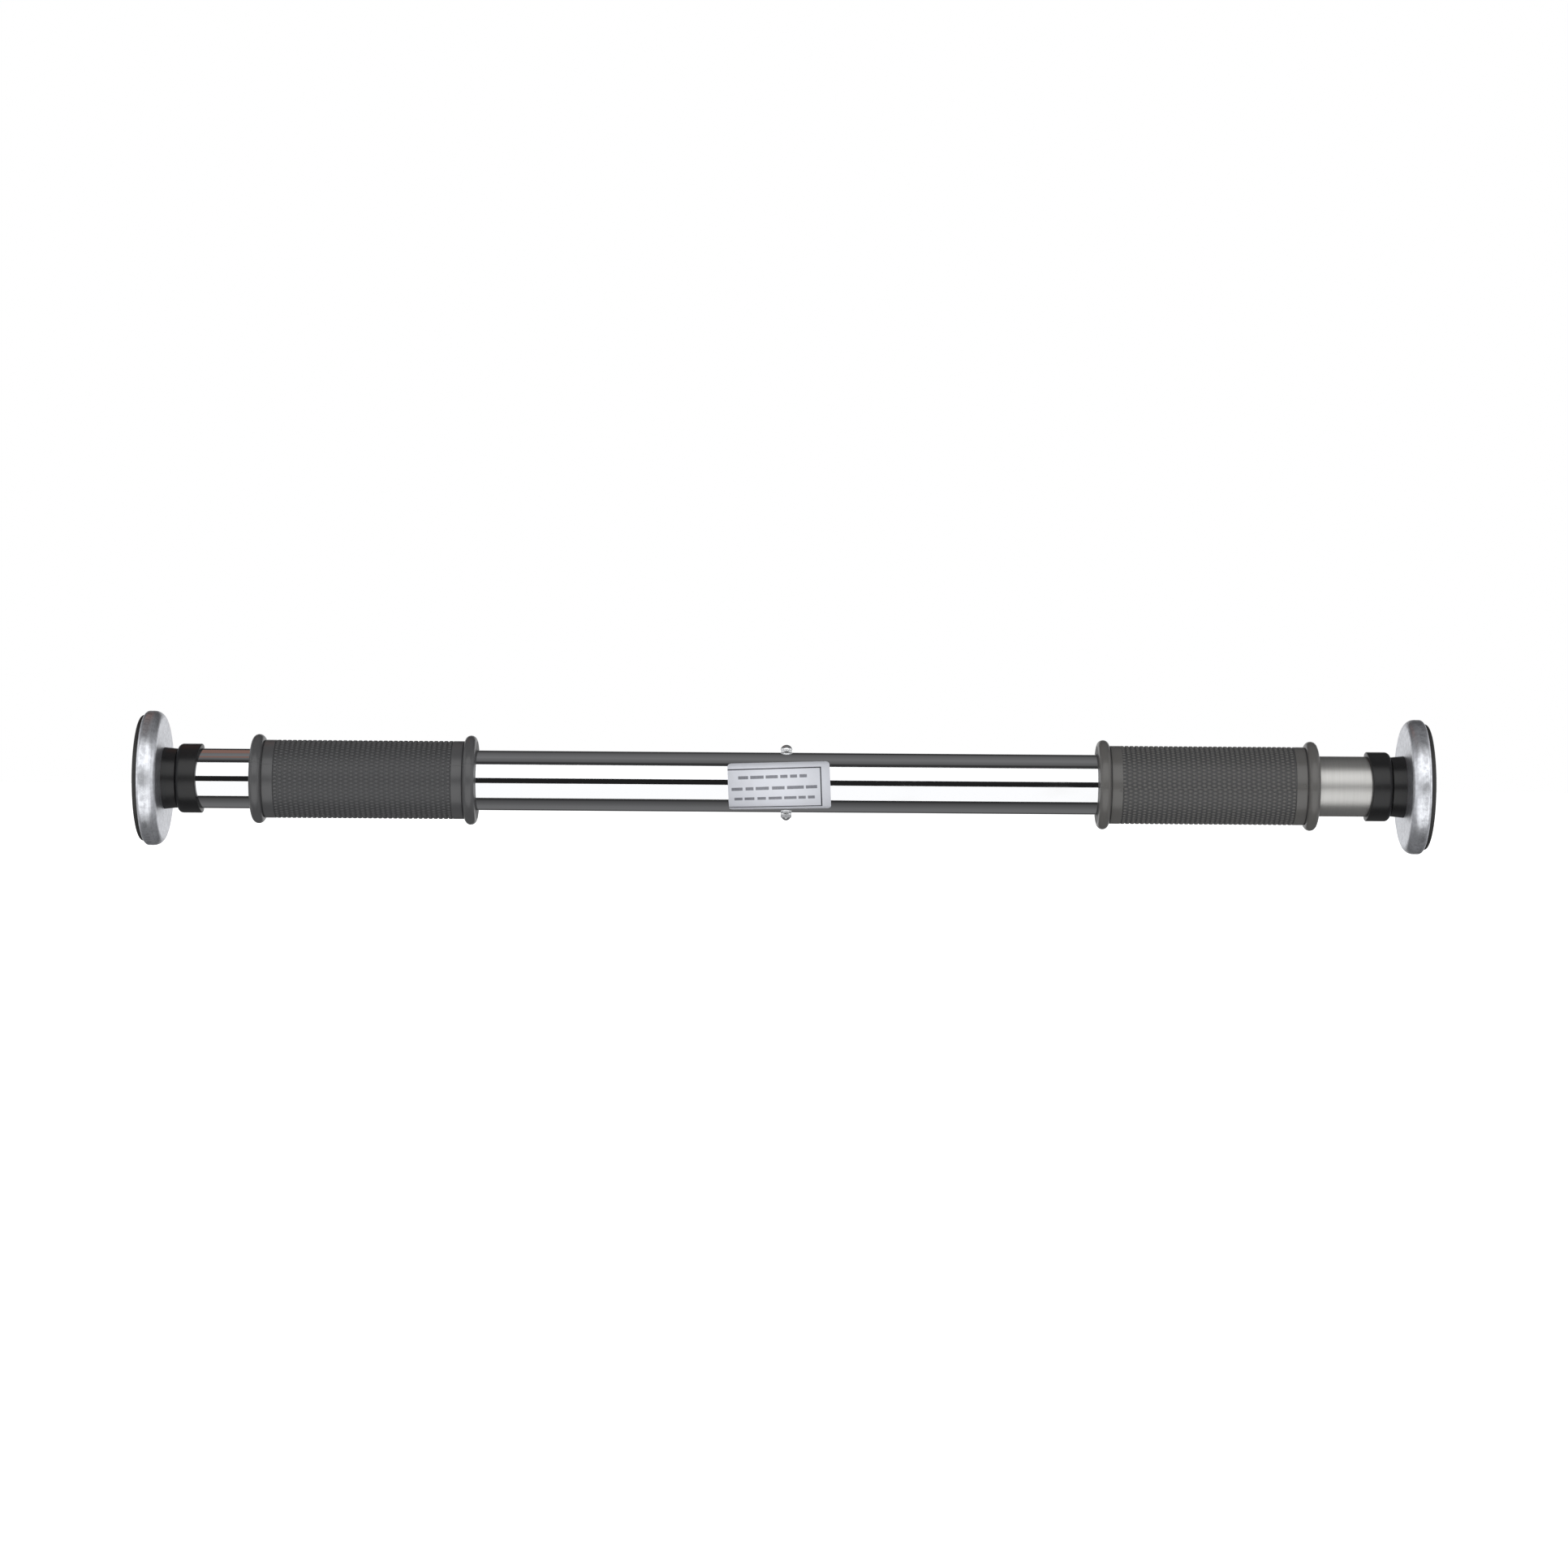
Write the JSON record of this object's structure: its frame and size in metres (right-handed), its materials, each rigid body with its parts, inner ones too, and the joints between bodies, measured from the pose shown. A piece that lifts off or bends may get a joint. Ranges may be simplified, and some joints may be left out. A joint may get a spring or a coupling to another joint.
{
  "type": "doorway pull-up bar",
  "caption": "Telescoping doorway pull-up bar with rubber grips and swivelling padded feet, screwed out between the jambs by turning its right-hand section.",
  "frame": {"origin": "middle of the bar's length, on its axis, with the bar screwed right in", "axes": "+X along the bar towards the section that is screwed out, +Z along the centre bolt towards its slotted head, and the label faces -Y"},
  "size_m": [0.683, 0.0716, 0.0716],
  "materials": {
    "chrome_tube": "mirror-bright chrome plate",
    "satin_tube": "satin, finely ground round the tube",
    "inner_tube_zinc": "bright zinc plate with sliding marks",
    "cup_zinc": "semi-bright plated pressing with spinning marks",
    "bright_fastener": "bright nickel plate",
    "zinc_fastener": "clear zinc plate",
    "inner_steel": "turned steel, lightly oiled",
    "grip_rubber": "dark grey moulded rubber with raised pimples",
    "pad_rubber": "black moulded rubber",
    "black_plastic": "black moulded plastic with a soft sheen",
    "nylon": "natural nylon",
    "label_film": "printed vinyl film"
  },
  "bodies": {
    "main_section": {"main_tube": "chrome_tube", "anchor_block": "inner_steel", "centre_bolt": "bright_fastener", "bolt_washers": "bright_fastener", "centre_nut": "bright_fastener", "spindle": "inner_steel", "spindle_stop": "inner_steel", "stop_pin": "zinc_fastener", "guide_bush": "nylon", "label": "label_film", "left_grip": "grip_rubber", "left_end_cap": "black_plastic", "left_end_plug": "inner_steel"},
    "right_section": {"sleeve_tube": "satin_tube", "inner_tube": "inner_tube_zinc", "spindle_nut": "inner_steel", "sleeve_rivets": "zinc_fastener", "right_grip": "grip_rubber", "right_end_cap": "black_plastic", "right_end_plug": "inner_steel"},
    "left_foot": {"left_hub": "black_plastic", "left_cup": "cup_zinc", "left_pad": "pad_rubber", "left_pivot_bolt": "inner_steel", "left_pivot_washer": "zinc_fastener", "left_pivot_nut": "zinc_fastener"},
    "right_foot": {"right_hub": "black_plastic", "right_cup": "cup_zinc", "right_pad": "pad_rubber", "right_pivot_bolt": "inner_steel", "right_pivot_washer": "zinc_fastener", "right_pivot_nut": "zinc_fastener"}
  },
  "joints": [
    {"name": "left_swivel", "type": "hinge", "parent": "main_section", "child": "left_foot", "pos_m": [-0.32, 0, 0], "axis": [1, 0, 0], "continuous": true},
    {"name": "extension", "type": "slide", "parent": "main_section", "child": "right_foot", "axis": [1, 0, 0], "range_m": [0, 0.1]},
    {"name": "right_turn", "type": "hinge", "parent": "right_foot", "child": "right_section", "pos_m": [0.32, 0, 0], "axis": [1, 0, 0], "range_deg": [0, 9000]}
  ],
  "couplings": [
    {"joint": "extension", "follows": "right_turn", "m_per_rad": 0.00063662}
  ]
}
